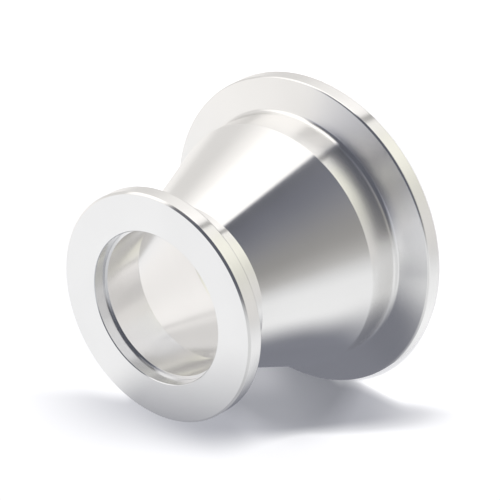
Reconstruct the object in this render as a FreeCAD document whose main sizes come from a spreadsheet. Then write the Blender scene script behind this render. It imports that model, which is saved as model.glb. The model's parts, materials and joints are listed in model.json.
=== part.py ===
import FreeCAD, Part
import os
import Sketcher

# Conical vacuum reducer, turned in one piece from stainless steel bar.
# It stands on its large sealing face: z = 0 is that face, the axis is +Z,
# and the small sealing face is at the top. Lengths are millimetres, angles degrees.

os.makedirs("parts", exist_ok=True)
doc = FreeCAD.newDocument("conical_reducer")

# Driving dimensions
sizes = doc.addObject("Spreadsheet::Sheet", "sizes")
DIMENSIONS = [
    ("overall_length", 40.0, "large sealing face to small sealing face"),
    ("large_flange_diameter", 55.0, "outside of the large rim"),
    ("large_rim_width", 3.0, "cylindrical part of the large rim, along the axis"),
    ("large_neck_height", 10.7, "large sealing face to the foot of the cone"),
    ("large_bore_diameter", 40.0, "straight bore behind the large recess"),
    ("large_shoulder_width", 0.6, "step from the large recess wall in to the bore"),
    ("large_recess_depth", 2.5, "seat of the large centring ring"),
    ("small_flange_diameter", 40.0, "outside of the small rim"),
    ("small_rim_width", 3.0, "cylindrical part of the small rim, along the axis"),
    ("small_neck_height", 9.9, "small sealing face to the top of the cone"),
    ("small_bore_diameter", 25.5, "straight bore behind the small recess"),
    ("small_shoulder_width", 0.55, "step from the small recess wall in to the bore"),
    ("small_recess_depth", 2.5, "seat of the small centring ring"),
    ("wall_thickness", 1.7, "wall of the necks and of the cone, square to the surface"),
    ("clamp_taper_angle", 15.0, "slope of the flange backs, which the clamp draws on"),
    ("root_fillet_radius", 1.0, "inside corner between neck and flange back"),
    ("rim_chamfer", 0.2, "edge between rim and flange back"),
    ("face_chamfer", 0.35, "outer edge of each sealing face"),
    ("recess_edge_break", 0.12, "mouth of each recess"),
]
for row, (alias, value, meaning) in enumerate(DIMENSIONS, start=1):
    sizes.set("A%d" % row, meaning)
    sizes.set("B%d" % row, str(value))
    sizes.setAlias("B%d" % row, alias)
doc.recompute()

# Radii and heights that follow from the driving dimensions, as formulas of the sheet
LARGE_RIM = "sizes.large_flange_diameter / 2"
SMALL_RIM = "sizes.small_flange_diameter / 2"
LARGE_BORE = "sizes.large_bore_diameter / 2"
SMALL_BORE = "sizes.small_bore_diameter / 2"
LARGE_NECK = LARGE_BORE + " + sizes.wall_thickness"
SMALL_NECK = SMALL_BORE + " + sizes.wall_thickness"
LARGE_RECESS = LARGE_BORE + " + sizes.large_shoulder_width"
SMALL_RECESS = SMALL_BORE + " + sizes.small_shoulder_width"
ROOT_FILLET = "sizes.root_fillet_radius"
TAPER_RISE = "tan(sizes.clamp_taper_angle * 1 deg)"

LENGTH = "sizes.overall_length"
LARGE_RIM_BACK = "sizes.large_rim_width"
LARGE_ROOT = "%s + (%s - (%s)) * %s" % (LARGE_RIM_BACK, LARGE_RIM, LARGE_NECK, TAPER_RISE)
CONE_FOOT = "sizes.large_neck_height"
CONE_TOP = "sizes.overall_length - sizes.small_neck_height"
SMALL_RIM_BACK = "sizes.overall_length - sizes.small_rim_width"
SMALL_ROOT = "%s - (%s - (%s)) * %s" % (SMALL_RIM_BACK, SMALL_RIM, SMALL_NECK, TAPER_RISE)

# The inner cone runs parallel to the outer one, so its two ends lie below the outer ends
CONE_SLOPE = "atan(((%s) - (%s)) / (%s - %s))" % (LARGE_NECK, SMALL_NECK, "(" + CONE_TOP + ")", CONE_FOOT)
INNER_DROP = "sizes.wall_thickness * tan(%s / 2)" % CONE_SLOPE
INNER_CONE_FOOT = "%s - %s" % (CONE_FOOT, INNER_DROP)
INNER_CONE_TOP = "%s - %s" % (CONE_TOP, INNER_DROP)

AXIS = "0"
LARGE_FACE = "0"
FULL_TURN = 360.0
CLOSE = 1e-4


def number(formula):
    """Value of a formula of the sheet, in millimetres."""
    value = sizes.evalExpression(formula)
    return float(getattr(value, "Value", value))


def origin_feature(body, role):
    """One of the planes or axes that every body carries, by its role."""
    for feature in body.Origin.OriginFeatures:
        if feature.Role == role:
            return feature
    raise RuntimeError("no origin feature " + role)


def half_section(body, name, corners):
    """Closed outline in the XZ plane. Each corner is a radius and a height, both formulas,
    and a third formula where the corner is rounded to that radius."""
    sketch = body.newObject("Sketcher::SketchObject", name)
    sketch.AttachmentSupport = (origin_feature(body, "XZ_Plane"), [""])
    sketch.MapMode = "FlatFace"
    points = [FreeCAD.Vector(number(corner[0]), number(corner[1]), 0) for corner in corners]
    count = len(points)
    start_point, end_point = 1, 2
    horizontal_axis, vertical_axis = -1, -2
    sketch_origin = (-1, 1)
    for line, point in enumerate(points):
        sketch.addGeometry(Part.LineSegment(point, points[(line + 1) % count]), False)
    for line in range(count):
        following = (line + 1) % count
        sketch.addConstraint(Sketcher.Constraint("Coincident", line, end_point, following, start_point))
    for line, (radius, height, *_) in enumerate(corners):
        for formula, axis_value, axis_line, kind in (
                (radius, AXIS, vertical_axis, "DistanceX"),
                (height, LARGE_FACE, horizontal_axis, "DistanceY")):
            if formula == axis_value:
                sketch.addConstraint(Sketcher.Constraint("PointOnObject", line, start_point, axis_line))
            else:
                distance = sketch.addConstraint(
                    Sketcher.Constraint(kind, *sketch_origin, line, start_point, number(formula)))
                sketch.setExpression("Constraints[%d]" % distance, formula)
    for line, (radius, height, *rounding) in enumerate(corners):
        for formula in rounding:
            near_start = (points[line - 1] + points[line]) / 2
            near_end = (points[line] + points[(line + 1) % count]) / 2
            arc = sketch.GeometryCount
            sketch.fillet((line - 1) % count, line, near_start, near_end, number(formula), True, True)
            size = sketch.addConstraint(Sketcher.Constraint("Radius", arc, number(formula)))
            sketch.setExpression("Constraints[%d]" % size, formula)
    sketch.Visibility = False
    return sketch


def turned(body, kind, name, corners):
    """A full turn of a half section about the axis: Revolution adds metal, Groove cuts it away."""
    sketch = half_section(body, name + "_profile", corners)
    feature = body.newObject("PartDesign::" + kind, name)
    feature.Profile = sketch
    feature.ReferenceAxis = (sketch, ["V_Axis"])
    feature.Angle = FULL_TURN
    doc.recompute()
    return feature


def ring_edges(shape, rings):
    """Names of the circular edges at the given pairs of radius and height."""
    names = []
    for radius, height in rings:
        for index, edge in enumerate(shape.Edges, start=1):
            curve = edge.Curve
            if not isinstance(curve, Part.Circle):
                continue
            same_radius = abs(curve.Radius - number(radius)) < CLOSE
            same_height = abs(curve.Center.z - number(height)) < CLOSE
            if same_radius and same_height:
                names.append("Edge%d" % index)
                break
        else:
            raise RuntimeError("no edge of radius %s at height %s" % (radius, height))
    return names


def chamfered(body, name, rings):
    """A chamfer on circular edges of the body as it stands, of the size that has its name."""
    base = body.Tip
    feature = body.newObject("PartDesign::Chamfer", name + "_edges")
    feature.Base = (base, ring_edges(base.Shape, rings))
    feature.setExpression("Size", "sizes." + name)
    doc.recompute()
    return feature


# Outside: two flanges with tapered backs, straight necks and a sharp-edged cone between them
body = doc.addObject("PartDesign::Body", "reducer")
body.Label = "reducer_body"
turned(body, "Revolution", "outer_form", [
    (AXIS, LARGE_FACE),
    (LARGE_RIM, LARGE_FACE),
    (LARGE_RIM, LARGE_RIM_BACK),
    (LARGE_NECK, LARGE_ROOT, ROOT_FILLET),
    (LARGE_NECK, CONE_FOOT),
    (SMALL_NECK, CONE_TOP),
    (SMALL_NECK, SMALL_ROOT, ROOT_FILLET),
    (SMALL_RIM, SMALL_RIM_BACK),
    (SMALL_RIM, LENGTH),
    (AXIS, LENGTH),
])

# Inside: one passage right through, straight at both ends and conical between
turned(body, "Groove", "passage", [
    (AXIS, LARGE_FACE),
    (LARGE_BORE, LARGE_FACE),
    (LARGE_BORE, INNER_CONE_FOOT),
    (SMALL_BORE, INNER_CONE_TOP),
    (SMALL_BORE, LENGTH),
    (AXIS, LENGTH),
])

# Counterbores that seat the centring rings
turned(body, "Groove", "large_recess", [
    (AXIS, LARGE_FACE),
    (LARGE_RECESS, LARGE_FACE),
    (LARGE_RECESS, "sizes.large_recess_depth"),
    (AXIS, "sizes.large_recess_depth"),
])
turned(body, "Groove", "small_recess", [
    (AXIS, LENGTH + " - sizes.small_recess_depth"),
    (SMALL_RECESS, LENGTH + " - sizes.small_recess_depth"),
    (SMALL_RECESS, LENGTH),
    (AXIS, LENGTH),
])

# Edges
chamfered(body, "rim_chamfer", [
    (LARGE_RIM, LARGE_RIM_BACK),
    (SMALL_RIM, SMALL_RIM_BACK),
])
chamfered(body, "face_chamfer", [
    (LARGE_RIM, LARGE_FACE),
    (SMALL_RIM, LENGTH),
])
chamfered(body, "recess_edge_break", [
    (LARGE_RECESS, LARGE_FACE),
    (SMALL_RECESS, LENGTH),
])

# Checks before anything is written
doc.recompute()
for item in doc.Objects:
    if "Invalid" in item.State or "Error" in item.State:
        raise RuntimeError("%s is in state %s" % (item.Label, item.State))
for part in (body,):
    if part.Shape.isNull() or not part.Shape.isValid():
        raise RuntimeError(part.Label + " has no valid shape")
    if len(part.Shape.Solids) != 1:
        raise RuntimeError(part.Label + " is not one solid")
    part.Shape.exportStep("parts/%s.step" % part.Label)
    print(part.Label, "volume %.1f cubic millimetres" % part.Shape.Volume)
print("cone half angle %.2f degrees" % number(CONE_SLOPE))
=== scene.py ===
"""A conical reducer in turned and polished stainless steel, in a white product studio.

The part stands on its large sealing face, with its axis on +Z. Blender's unit is the metre, so sizes
written in millimetres carry the factor mm.
"""

import json
import math

import bmesh
import bpy
from mathutils import Matrix, Vector


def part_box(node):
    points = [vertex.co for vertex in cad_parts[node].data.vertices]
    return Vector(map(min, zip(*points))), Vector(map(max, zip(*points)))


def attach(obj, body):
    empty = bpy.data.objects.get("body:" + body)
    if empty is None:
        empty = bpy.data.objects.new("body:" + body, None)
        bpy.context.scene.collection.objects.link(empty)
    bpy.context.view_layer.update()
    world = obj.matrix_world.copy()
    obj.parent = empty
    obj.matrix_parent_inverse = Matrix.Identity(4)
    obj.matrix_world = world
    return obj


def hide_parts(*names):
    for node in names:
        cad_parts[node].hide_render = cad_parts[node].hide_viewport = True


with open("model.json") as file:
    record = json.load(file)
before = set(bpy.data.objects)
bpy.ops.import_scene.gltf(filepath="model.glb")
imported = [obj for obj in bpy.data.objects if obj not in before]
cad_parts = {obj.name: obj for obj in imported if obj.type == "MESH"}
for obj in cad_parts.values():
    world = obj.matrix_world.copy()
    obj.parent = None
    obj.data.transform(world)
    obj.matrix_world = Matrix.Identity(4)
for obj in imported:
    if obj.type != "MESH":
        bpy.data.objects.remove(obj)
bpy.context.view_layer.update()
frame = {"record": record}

mm = 0.001

# Sizes read from the frame and its mounts
BODY = "reducer_body"
mount_sizes = {mount["name"]: mount["dims"] for mount in frame["record"]["mounts"]}
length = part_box(BODY)[1].z
large_rim_radius = mount_sizes["large_rim"]["r_mm"] * mm
small_rim_radius = mount_sizes["small_rim"]["r_mm"] * mm
large_recess_radius = mount_sizes["large_recess"]["r_mm"] * mm
small_recess_radius = mount_sizes["small_recess"]["r_mm"] * mm

# Sizes that the frame doesn't name
rim_width = 3.0 * mm
recess_depth = 2.5 * mm
large_shoulder = 0.6 * mm
small_shoulder = 0.55 * mm
wall = 1.7 * mm
large_neck_height = 10.7 * mm
small_neck_height = 9.9 * mm
clamp_taper = math.radians(15)
root_fillet = 1.0 * mm
back_rounding = 0.4 * mm
face_chamfer = 0.35 * mm
recess_edge_break = 0.12 * mm
edge_softness = 0.05 * mm
cone_edge_softness = 0.25 * mm
turn_steps = 384
merge_distance = 0.0001 * mm

# Sizes that follow
large_bore = large_recess_radius - large_shoulder
small_bore = small_recess_radius - small_shoulder
large_neck = large_bore + wall
small_neck = small_bore + wall
cone_top = length - small_neck_height
large_root = rim_width + (large_rim_radius - large_neck) * math.tan(clamp_taper)
small_root = length - rim_width - (small_rim_radius - small_neck) * math.tan(clamp_taper)
cone_slope = math.atan2(large_neck - small_neck, cone_top - large_neck_height)
inner_drop = wall * math.tan(cone_slope / 2)


def turned_body(name, corners):
    """A closed half section of corners, spun about the axis.

    Each corner is a radius, a height, the radius that it is rounded to and the segments of its rounding.
    """
    spots = [Vector((radius, 0, height)) for radius, height, _, _ in corners]
    shape = bmesh.new()
    verts = [shape.verts.new(spot) for spot in spots]
    for index, vert in enumerate(verts):
        shape.edges.new((verts[index - 1], vert))
    for index, (_, _, rounding, segments) in enumerate(corners):
        to_before = spots[index - 1] - spots[index]
        to_after = spots[(index + 1) % len(spots)] - spots[index]
        reach = rounding / math.tan(to_before.angle(to_after) / 2)
        bmesh.ops.bevel(shape, geom=[verts[index]], offset=reach, offset_type="OFFSET", segments=segments,
                        profile=0.5, affect="VERTICES", material=-1)
    bmesh.ops.spin(shape, geom=shape.verts[:] + shape.edges[:], cent=(0, 0, 0), axis=(0, 0, 1),
                   dvec=(0, 0, 0), angle=2 * math.pi, steps=turn_steps, use_merge=True, use_duplicate=False)
    bmesh.ops.remove_doubles(shape, verts=shape.verts, dist=merge_distance)
    bmesh.ops.recalc_face_normals(shape, faces=shape.faces)
    for face in shape.faces:
        face.smooth = True
        face.material_index = finish_of(face)
    mesh = bpy.data.meshes.new(name)
    shape.to_mesh(mesh)
    shape.free()
    piece = bpy.data.objects.new(name, mesh)
    bpy.context.scene.collection.objects.link(piece)
    # Long straight faces keep their own shading beside the narrow faces of the rounded corners
    piece.modifiers.new("flat_straights", "WEIGHTED_NORMAL").weight = 100
    return piece


POLISHED, FACED, BORED, RECESSED = range(4)


def finish_of(face):
    """Polished outside, faced on the sealing surfaces, and inside a recess wall or bored."""
    centre = face.calc_center_median()
    outward = face.normal.dot(Vector((centre.x, centre.y, 0)).normalized())
    depth = min(centre.z, length - centre.z)
    if depth < edge_softness / 10:
        return FACED
    # The tapered backs of the flanges face outward the least of all that is outside
    if outward > math.sin(clamp_taper) / 2:
        return POLISHED
    bore = small_bore if centre.z > length / 2 else large_bore
    wider_than_bore = math.hypot(centre.x, centre.y) > bore + small_shoulder / 2
    upright = outward < -0.5
    return RECESSED if depth < recess_depth and wider_than_bore and upright else BORED


def softened(radius, height):
    """A corner with only its sharpness taken off."""
    return radius, height, edge_softness, 3


outside = [
    softened(large_rim_radius - face_chamfer, 0),
    softened(large_rim_radius, face_chamfer),
    (large_rim_radius, rim_width, back_rounding, 5),
    (large_neck, large_root, root_fillet, 12),
    (large_neck, large_neck_height, cone_edge_softness, 4),
    (small_neck, cone_top, cone_edge_softness, 4),
    (small_neck, small_root, root_fillet, 12),
    (small_rim_radius, length - rim_width, back_rounding, 5),
    softened(small_rim_radius, length - face_chamfer),
    softened(small_rim_radius - face_chamfer, length),
]
inside = [
    softened(small_recess_radius + recess_edge_break, length),
    softened(small_recess_radius, length - recess_edge_break),
    softened(small_recess_radius, length - recess_depth),
    softened(small_bore, length - recess_depth),
    (small_bore, cone_top - inner_drop, cone_edge_softness, 4),
    (large_bore, large_neck_height - inner_drop, cone_edge_softness, 4),
    softened(large_bore, recess_depth),
    softened(large_recess_radius, recess_depth),
    softened(large_recess_radius, recess_edge_break),
    softened(large_recess_radius + recess_edge_break, 0),
]
reducer = turned_body("polished_reducer", outside + inside)
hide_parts(BODY)
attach(reducer, "root")


class Graph:
    """Short ways to place and link the nodes of one node tree."""

    def __init__(self, tree):
        self.tree = tree
        self.tree.nodes.clear()

    def node(self, kind, values=None, **settings):
        made = self.tree.nodes.new(kind)
        for name, value in settings.items():
            setattr(made, name, value)
        for socket, value in (values or {}).items():
            self.feed(made.inputs[socket], value)
        return made

    def feed(self, socket, value):
        if isinstance(value, bpy.types.NodeSocket):
            self.tree.links.new(value, socket)
        else:
            socket.default_value = value

    def math(self, operation, *values):
        made = self.node("ShaderNodeMath", operation=operation)
        for socket, value in zip(made.inputs, values):
            self.feed(socket, value)
        return made.outputs[0]

    def product(self, *values):
        result = values[0]
        for value in values[1:]:
            result = self.math("MULTIPLY", result, value)
        return result

    def fade(self, value, low, high, start=0.0, end=1.0):
        """From start to end, smoothly, as value goes from low to high. High may be the smaller of the two."""
        made = self.node("ShaderNodeMapRange", interpolation_type="SMOOTHSTEP")
        for socket, entry in zip(made.inputs, (value, low, high, start, end)):
            self.feed(socket, entry)
        return made.outputs[0]

    def span(self, value, low_end, low_full, high_full, high_end):
        """Share that is 1 between the two full bounds and fades out to each end."""
        return self.product(self.fade(value, low_end, low_full), self.fade(value, high_end, high_full))

    def dimmed(self, share, least):
        """From 1 down to the least, as a share grows from 0 to 1."""
        return self.fade(share, 0.0, 1.0, 1.0, least)

    def along(self, direction, axis):
        """Length of a direction along an axis."""
        made = self.node("ShaderNodeVectorMath", {0: direction, 1: axis}, operation="DOT_PRODUCT")
        return made.outputs["Value"]

    def blend(self, share, first, second):
        """A number between two numbers, on the sockets that a Mix node has for numbers."""
        made = self.node("ShaderNodeMix", {0: share, 2: first, 3: second}, data_type="FLOAT")
        return made.outputs[0]

    def tint(self, share, first, second, blend_type="MIX"):
        """A colour between two colours, on the sockets that a Mix node has for colours."""
        made = self.node("ShaderNodeMix", {0: share, 6: first, 7: second}, data_type="RGBA",
                         blend_type=blend_type)
        return made.outputs[2]

    def place_in_mm(self):
        """Place on the piece itself, in millimetres."""
        place = self.node("ShaderNodeTexCoord").outputs["Object"]
        return self.node("ShaderNodeVectorMath", {0: place, "Scale": 1 / mm}, operation="SCALE").outputs[0]


# The studio's own axes, seen from the part as it stands
studio_up = Vector((0.97616, 0.04167, -0.21302))
studio_front = Vector((0.19090, -0.63187, 0.75120))
studio_right = Vector((-0.10329, -0.77395, -0.62476))

# Brightness of things in the studio, plain white being 1
softbox_level = 1.25
softbox_frame_level = 0.36
wall_level_low = 0.99
wall_level_high = 0.765
ceiling_level = 1.02
rear_ceiling_level = 1.12
right_wall_level_low = 0.95
right_wall_level_front = 0.83
right_wall_level_rear = 0.63
right_wall_level_high = 1.06
bright_panel_level = 1.03
dim_band_level = 0.57
room_level_low = 0.52
room_level = 0.32
room_level_high = 0.18
stand_level = 0.12

# What is left of that brightness in the dimmer places
front_left_share = 0.9
floor_share = 0.9
near_floor_share = 0.85
room_left_share = 0.4

# The softbox's right side runs askew: how much a way ahead and a way aside lead towards it
ahead_to_frame = 0.465
aside_to_frame = 0.885

# Keeps places on the ceiling finite towards the horizon
least_rise = 0.05

floor_tint = (0.995, 1.0, 1.01, 1)
wall_tint = (1.02, 1.0, 0.98, 1)
cream_tint = (1.02, 1.01, 0.905, 1)
cool_tint = (0.94, 0.98, 1.19, 1)
backdrop_white = (1.0, 1.0, 1.0, 1)
floor_fill = (0.805, 0.81, 0.83, 1)


def pale_walls(graph, bearing, height):
    """Brightness of the walls and floor, dimmer at middle height, at the front left and on the near floor."""
    level = graph.blend(graph.fade(height, 6, 22), wall_level_low, wall_level_high)
    right_rear = graph.span(bearing, 60, 100, 130, 170)
    top_level = graph.fade(right_rear, 0, 1, ceiling_level, rear_ceiling_level)
    level = graph.blend(graph.fade(height, 36, 60), level, top_level)
    front_left = graph.product(graph.span(bearing, -92, -72, 0, 20), graph.fade(height, 4, -4))
    dim_floor = graph.span(bearing, -20, 10, 84, 112)
    near_floor = graph.product(dim_floor, graph.fade(bearing, 55, 35))
    floor_level = graph.product(graph.dimmed(dim_floor, floor_share),
                                graph.dimmed(near_floor, near_floor_share))
    on_floor = graph.fade(height, -12, -26)
    return graph.product(level, graph.dimmed(front_left, front_left_share),
                         graph.dimmed(on_floor, floor_level))


def right_wall(graph, bearing, height, level):
    """The level with the dimmer right wall laid over it, its bright panel and the dim band above."""
    wall_level = graph.fade(bearing, 86, 120, right_wall_level_front, right_wall_level_rear)
    wall_level = graph.blend(graph.fade(height, 14, 42), wall_level, right_wall_level_high)
    wall_level = graph.blend(graph.fade(height, -26, -10), right_wall_level_low, wall_level)
    level = graph.blend(graph.span(bearing, 60, 80, 122, 138), level, wall_level)
    bright_panel = graph.product(graph.span(bearing, 125, 129, 146, 151), graph.fade(height, 31, 27))
    level = graph.blend(bright_panel, level, bright_panel_level)
    dim_band = graph.product(graph.span(bearing, 112, 120, 154, 166), graph.span(height, 29, 33, 43, 48))
    return graph.blend(dim_band, level, dim_band_level)


def dark_room(graph, bearing, height):
    """Share and brightness of the dark room at the front right, which is lighter towards the floor."""
    level = graph.blend(graph.fade(height, -20, 10), room_level_low, room_level)
    level = graph.blend(graph.fade(height, 5, 70), level, room_level_high)
    level = graph.product(level, graph.fade(bearing, 27, 46, room_left_share, 1.0))
    left_end = graph.fade(height, 44, 56, -30, -17)
    left_full = graph.fade(height, 44, 56, 10, -7)
    share = graph.product(graph.span(bearing, left_end, left_full, 62, 84), graph.fade(height, -30, -8))
    return share, level


def softbox(graph, bearing, height, ahead, aside):
    """Shares of the softbox overhead and of the dim frame at its right.

    Ahead and aside are places on a ceiling that lies 1 above the part.
    """
    overhead = graph.fade(height, 20, 30)
    towards_frame = graph.math("ADD", graph.product(ahead, ahead_to_frame),
                               graph.product(aside, aside_to_frame))
    towards_corner = graph.math("ADD", ahead, aside)
    share = graph.product(overhead, graph.fade(towards_frame, 0.278, 0.238),
                          graph.fade(towards_corner, 0.53, 0.435), graph.span(ahead, -0.45, -0.34, 0.63, 0.7))
    frame_share = graph.product(overhead, graph.span(towards_frame, 0.29, 0.32, 0.37, 0.4),
                                graph.fade(bearing, 90, 105))
    return share, frame_share


def camera_stand(graph, bearing, height):
    """Share of the dark slate camera stand in front. Its left side is softest low down, its foot slants."""
    left_end = graph.fade(height, -10, 40, -74, -68)
    left_full = graph.fade(height, -10, 40, -42, -52)
    foot_end = graph.fade(bearing, -16, 8, -36, -18)
    foot_full = graph.fade(bearing, -16, 8, -3, 2)
    return graph.product(graph.span(bearing, left_end, left_full, 30, 42),
                         graph.span(height, foot_end, foot_full, 50, 62))


def studio_light(graph):
    """Colour of the studio in each direction. Bearings from the front and heights are in degrees."""
    direction = graph.node("ShaderNodeTexCoord").outputs["Generated"]
    up = graph.along(direction, studio_up)
    front = graph.along(direction, studio_front)
    right = graph.along(direction, studio_right)
    bearing = graph.product(graph.math("ARCTAN2", right, front), 180 / math.pi)
    height = graph.product(graph.math("ARCSINE", up), 180 / math.pi)
    above = graph.math("MAXIMUM", up, least_rise)
    ahead = graph.math("DIVIDE", front, above)
    aside = graph.math("DIVIDE", right, above)

    level = right_wall(graph, bearing, height, pale_walls(graph, bearing, height))
    in_dark, dark_level = dark_room(graph, bearing, height)
    level = graph.blend(in_dark, level, dark_level)
    in_softbox, on_frame = softbox(graph, bearing, height, ahead, aside)
    level = graph.blend(in_softbox, level, softbox_level)
    level = graph.blend(graph.product(on_frame, graph.fade(in_dark, 1, 0)), level, softbox_frame_level)
    on_stand = camera_stand(graph, bearing, height)
    level = graph.blend(on_stand, level, stand_level)

    # Light is slightly cool from the floor, warm from the walls, cream at the right and blue in the dark
    colour = graph.tint(graph.fade(height, -22, -4), floor_tint, wall_tint)
    creamy = graph.product(graph.span(bearing, 50, 80, 105, 130), graph.span(height, -5, 30, 45, 62))
    colour = graph.tint(creamy, colour, cream_tint)
    coolness = graph.math("MAXIMUM", graph.product(in_dark, graph.fade(height, 5, 60)), on_stand)
    colour = graph.tint(graph.product(coolness, graph.fade(in_softbox, 1, 0)), colour, cool_tint)
    grey = graph.node("ShaderNodeCombineColor", {0: level, 1: level, 2: level}).outputs[0]
    return graph.tint(1.0, colour, grey, "MULTIPLY")


def build_world():
    """White behind the part, the studio in what it mirrors, and an even light from all round on the floor."""
    world = bpy.data.worlds.new("white_studio")
    bpy.context.scene.world = world
    world.use_nodes = True
    graph = Graph(world.node_tree)
    ray = graph.node("ShaderNodeLightPath")
    seen = graph.tint(ray.outputs["Is Camera Ray"], floor_fill, backdrop_white)
    seen = graph.tint(ray.outputs["Is Glossy Ray"], seen, studio_light(graph))
    background = graph.node("ShaderNodeBackground", {"Color": seen, "Strength": 1.0})
    graph.node("ShaderNodeOutputWorld", {"Surface": background.outputs[0]})


build_world()


def make_material(name):
    material = bpy.data.materials.new(name)
    material.use_nodes = True
    return material, Graph(material.node_tree)


blotches_per_metre = 90.0


def turned_marks():
    """Shader group for what a lathe tool and polishing leave: rings about the axis, and faint blotches."""
    group = bpy.data.node_groups.new("turned_marks", "ShaderNodeTree")
    for name in ("Ring Width", "Ring Depth", "Base Roughness", "Ring Roughness", "Blotch Roughness"):
        group.interface.new_socket(name, in_out="INPUT", socket_type="NodeSocketFloat")
    for name in ("Roughness", "Height", "Blotches"):
        group.interface.new_socket(name, in_out="OUTPUT", socket_type="NodeSocketFloat")
    graph = Graph(group)
    given = graph.node("NodeGroupInput").outputs
    place = graph.node("ShaderNodeTexCoord").outputs["Object"]
    split = graph.node("ShaderNodeSeparateXYZ", {0: place})
    flat = graph.node("ShaderNodeCombineXYZ", {"X": split.outputs["X"], "Y": split.outputs["Y"]})
    radius = graph.node("ShaderNodeVectorMath", {0: flat.outputs[0]}, operation="LENGTH").outputs["Value"]
    section = graph.node("ShaderNodeCombineXYZ", {"X": radius, "Y": split.outputs["Z"]}).outputs[0]

    def noise(spot, scale, detail, roughness):
        values = {"Vector": spot, "Scale": scale, "Detail": detail, "Roughness": roughness}
        return graph.node("ShaderNodeTexNoise", values).outputs[0]

    rings = noise(section, graph.math("DIVIDE", 1, given["Ring Width"]), 2.0, 0.6)
    blotches = noise(place, blotches_per_metre, 4.0, 0.55)
    ring_part = graph.product(graph.math("SUBTRACT", rings, 0.5), given["Ring Roughness"])
    blotch_part = graph.product(graph.math("SUBTRACT", blotches, 0.5), given["Blotch Roughness"])
    roughness = graph.math("ADD", given["Base Roughness"], graph.math("ADD", ring_part, blotch_part))
    depth = graph.product(rings, given["Ring Depth"])
    graph.node("NodeGroupOutput", {"Roughness": roughness, "Height": depth, "Blotches": blotches})
    return group


quarter_turn = 0.25
marks_group = turned_marks()


def steel(name, bright, dull, anisotropy, marks):
    """Turned stainless steel that dulls a little in blotches and draws reflections out across its rings."""
    material, graph = make_material(name)
    group = graph.node("ShaderNodeGroup", node_tree=marks_group)
    for socket, value in marks.items():
        graph.feed(group.inputs[socket], value)
    tangent = graph.node("ShaderNodeTangent", direction_type="RADIAL", axis="Z")
    bump = graph.node("ShaderNodeBump", {"Height": group.outputs["Height"], "Strength": 1.0, "Distance": 1.0})
    shader = graph.node("ShaderNodeBsdfPrincipled", {
        "Base Color": graph.tint(graph.fade(group.outputs["Blotches"], 0.35, 0.65), dull, bright),
        "Metallic": 1.0,
        "Roughness": group.outputs["Roughness"],
        "Normal": bump.outputs[0],
        "Anisotropic": anisotropy,
        "Anisotropic Rotation": quarter_turn,
        "Tangent": tangent.outputs[0],
    })
    graph.node("ShaderNodeOutputMaterial", {"Surface": shader.outputs[0]})
    return material


def add_finishes():
    """The finishes, in the order of POLISHED, FACED, BORED and RECESSED."""
    outside_marks = {"Ring Width": 0.3 * mm, "Ring Depth": 0.0002 * mm, "Base Roughness": 0.18,
                     "Ring Roughness": 0.03, "Blotch Roughness": 0.04}
    face_marks = {"Ring Width": 0.25 * mm, "Ring Depth": 0.0002 * mm, "Base Roughness": 0.2,
                  "Ring Roughness": 0.05, "Blotch Roughness": 0.04}
    bore_marks = {"Ring Width": 0.35 * mm, "Ring Depth": 0.0003 * mm, "Base Roughness": 0.17,
                  "Ring Roughness": 0.06, "Blotch Roughness": 0.06}
    for finish in (
            steel("polished_steel", (0.895, 0.89, 0.88, 1), (0.875, 0.87, 0.86, 1), 0.9, outside_marks),
            steel("faced_steel", (0.895, 0.89, 0.885, 1), (0.875, 0.87, 0.865, 1), 0.7, face_marks),
            # Inside, the colour is painted a little duller in the bore and darker and bluer on the recess
            # walls, as shade there
            steel("bored_steel", (0.87, 0.864, 0.861, 1), (0.85, 0.844, 0.841, 1), 0.6, bore_marks),
            steel("recess_steel", (0.775, 0.785, 0.805, 1), (0.755, 0.765, 0.785, 1), 0.6, bore_marks)):
        reducer.data.materials.append(finish)


add_finishes()


def stage_disc(name, radius, placing, material):
    """A flat round card that isn't part of the object."""
    shape = bmesh.new()
    bmesh.ops.create_circle(shape, cap_ends=True, cap_tris=False, segments=96, radius=radius)
    mesh = bpy.data.meshes.new(name)
    shape.to_mesh(mesh)
    shape.free()
    card = bpy.data.objects.new(name, mesh)
    card.matrix_world = placing
    bpy.context.scene.collection.objects.link(card)
    mesh.materials.append(material)
    return card


floor_radius = 3.0
floor_white = (0.93, 0.93, 0.94, 1)
# Greys of the shadow that is painted into the floor's colour
shade_grey = (0.385, 0.39, 0.42, 1)
lighter_shade_grey = (0.47, 0.475, 0.505, 1)
lightest_shade_grey = (0.65, 0.65, 0.675, 1)

# Two places on the line of the painted shadow, in millimetres, and the directions along and across it
shade_start = Vector((-31, -32, 0))
shade_passes = Vector((-52, 78, 0))
shade_along = (shade_passes - shade_start).normalized()
shade_outward = Vector((-shade_along.y, shade_along.x, 0))


def shade_form(graph, along, outward):
    """How deep the shadow painted on the floor is, with its places in millimetres."""
    right_end = graph.math("ADD", graph.fade(along, 14, 28, -5.2, -9.5), graph.fade(along, 28, 42, 0, -12))
    right_end = graph.blend(graph.fade(along, 66, 84), right_end, -5.5)
    right_end = graph.blend(graph.fade(along, 84, 96), right_end, -6.5)
    right_full = graph.math("ADD", right_end, 3.5)
    left_end = graph.fade(along, 38, 66, 3.1, 9)
    left_full = graph.blend(graph.fade(along, 64, 86), graph.fade(along, 8, 50, -2.2, 1.5), -2.5)
    skirt = graph.product(graph.fade(outward, 12, 3, 0.0, 0.15), graph.fade(along, 16, 36))
    depth = graph.blend(graph.fade(outward, left_end, left_full), skirt, 1.0)
    return graph.product(depth, graph.fade(outward, right_end, right_full),
                         graph.span(along, -4, 28, 60, 122))


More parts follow.
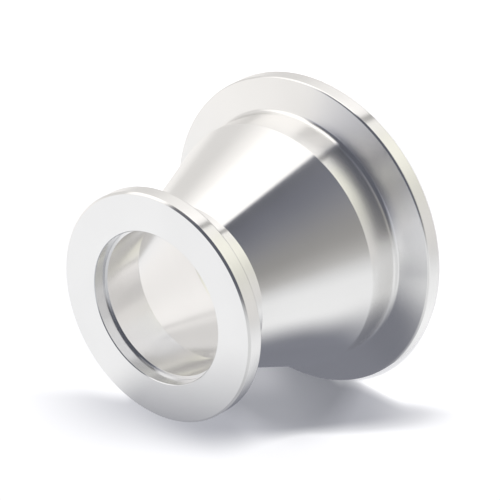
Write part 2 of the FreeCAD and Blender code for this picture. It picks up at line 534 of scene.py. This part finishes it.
def floor_material():
    """Matt white, with a long soft shadow painted into its colour beside the part."""
    material, graph = make_material("white_floor")
    place = graph.place_in_mm()
    from_start = graph.node("ShaderNodeVectorMath", {0: place, 1: shade_start}, operation="SUBTRACT")
    along = graph.along(from_start.outputs[0], shade_along)
    outward = graph.along(from_start.outputs[0], shade_outward)
    shade = shade_form(graph, along, outward)
    shade_colour = graph.tint(graph.span(along, 30, 46, 51, 59), shade_grey, lighter_shade_grey)
    lightest = graph.product(graph.fade(along, 38, 48), graph.fade(outward, -3, -9))
    shade_colour = graph.tint(lightest, shade_colour, lightest_shade_grey)
    matt = graph.node("ShaderNodeBsdfDiffuse", {"Color": graph.tint(shade, floor_white, shade_colour)})
    # A faint painted glow, which is no lamp, keeps the floor white round the foot, where the part's shade
    # would dull it, and far from the lamp
    from_axis = graph.node("ShaderNodeVectorMath", {0: place}, operation="LENGTH").outputs["Value"]
    near_glow = graph.product(graph.fade(from_axis, 50, 30, 0.0, 0.25), graph.fade(shade, 0.5, 0))
    far_glow = graph.fade(from_axis, 200, 900, 0.0, 0.3)
    glow = graph.node("ShaderNodeEmission", {"Strength": graph.math("ADD", near_glow, far_glow)})
    both = graph.node("ShaderNodeAddShader", {0: matt.outputs[0], 1: glow.outputs[0]})
    graph.node("ShaderNodeOutputMaterial", {"Surface": both.outputs[0]})
    return material


floor = stage_disc("floor", floor_radius, Matrix.Identity(4), floor_material())
floor.visible_glossy = False

# The steel mirrors a painted shade: the shade under a table that both rims would touch if the part lay on its
# side, though there is no table.
# The card only dims what is mirrored, so the camera doesn't see it.
lying_side = Matrix.Rotation(math.radians(182.45), 3, "Z") @ Vector((1, 0, 0))
up_axis = Vector((0, 0, 1))
large_touch = lying_side * large_rim_radius + up_axis * (rim_width - back_rounding)
small_touch = lying_side * small_rim_radius + up_axis * (length - face_chamfer)
table_clearance = 0.05 * mm
table_shade_radius = 0.15
table_shade_blue = (0.221, 0.227, 0.262, 1)
clear_white = (1, 1, 1, 1)


def table_shade_material():
    """Clear but for a soft bluish painted shade under the part, in millimetres from the large rim's touch
    point.
    """
    material, graph = make_material("table_shade")
    split = graph.node("ShaderNodeSeparateXYZ", {0: graph.place_in_mm()})
    along, across = split.outputs["X"], split.outputs["Y"]
    by_small_rim = graph.fade(along, 31, 36)
    left_end = graph.fade(along, 33, 40, -45, -23.5)
    left_full = graph.math("ADD", left_end, 13)
    right_full = graph.math("SUBTRACT", graph.fade(along, 0, 8, 8, 15), graph.fade(along, 13, 30, 0, 7))
    right_full = graph.math("MULTIPLY_ADD", by_small_rim, 2, right_full)
    right_end = graph.math("SUBTRACT", graph.fade(along, -4, 13, 46, 31), graph.fade(along, 13, 30, 0, 6))
    right_end = graph.math("MULTIPLY_ADD", by_small_rim, 3.5, right_end)
    shade = graph.product(graph.span(along, -14, -6, 27, 63),
                          graph.span(across, left_end, left_full, right_full, right_end))
    colour = graph.tint(shade, clear_white, table_shade_blue)
    clear = graph.node("ShaderNodeBsdfTransparent", {"Color": colour})
    graph.node("ShaderNodeOutputMaterial", {"Surface": clear.outputs[0]})
    return material


def lay_table_shade():
    """The card lies just outside the line between the two touch points."""
    along = (small_touch - large_touch).normalized()
    across = up_axis.cross(lying_side)
    turn = Matrix((along, across, along.cross(across))).transposed().to_4x4()
    placing = Matrix.Translation(large_touch + lying_side * table_clearance) @ turn
    card = stage_disc("table_shade", table_shade_radius, placing, table_shade_material())
    card.visible_camera = False
    card.visible_diffuse = False
    card.visible_shadow = False
    card.visible_transmission = False


lay_table_shade()


def lamp(name, bearing, height, distance, size, strength, colour):
    """A square area lamp aimed at the part's foot. Strength 1 alone would light a white floor fully."""
    data = bpy.data.lights.new(name, "AREA")
    data.shape = "SQUARE"
    data.size = size
    data.color = colour
    # What reaches the floor falls with the square of the distance and with a lower lamp
    data.energy = strength * math.pi ** 2 * distance ** 2 / math.sin(height)
    level_reach = math.cos(height)
    direction = Vector((math.cos(bearing) * level_reach, math.sin(bearing) * level_reach, math.sin(height)))
    made = bpy.data.objects.new(name, data)
    turn = direction.to_track_quat("Z", "Y").to_matrix().to_4x4()
    made.matrix_world = Matrix.Translation(direction * distance) @ turn
    made.visible_glossy = False
    bpy.context.scene.collection.objects.link(made)


lamp("key_lamp", bearing=math.radians(-32), height=math.radians(58), distance=1.6, size=0.16,
     strength=0.37, colour=(1.0, 0.99, 0.98))


def add_camera(place, aim, roll, lens):
    """A camera that looks from place to aim, turned about its line of sight by roll."""
    data = bpy.data.cameras.new("camera")
    data.lens = lens
    data.sensor_width = 36.0
    data.clip_start = 0.01
    data.clip_end = 20.0
    camera = bpy.data.objects.new("camera", data)
    looking = (aim - place).to_track_quat("-Z", "Y").to_matrix().to_4x4()
    camera.matrix_world = Matrix.Translation(place) @ looking @ Matrix.Rotation(roll, 4, "Z")
    bpy.context.scene.collection.objects.link(camera)
    bpy.context.scene.camera = camera


# At the photograph's viewing angle, rolled because the part lies on its side there
add_camera(place=Vector((187.19, -324.21, 364.80)) * mm, aim=Vector((3.427, -3.767, 20.0)) * mm,
           roll=math.radians(-118.264), lens=220.48)

bpy.context.scene.view_settings.view_transform = "Standard"
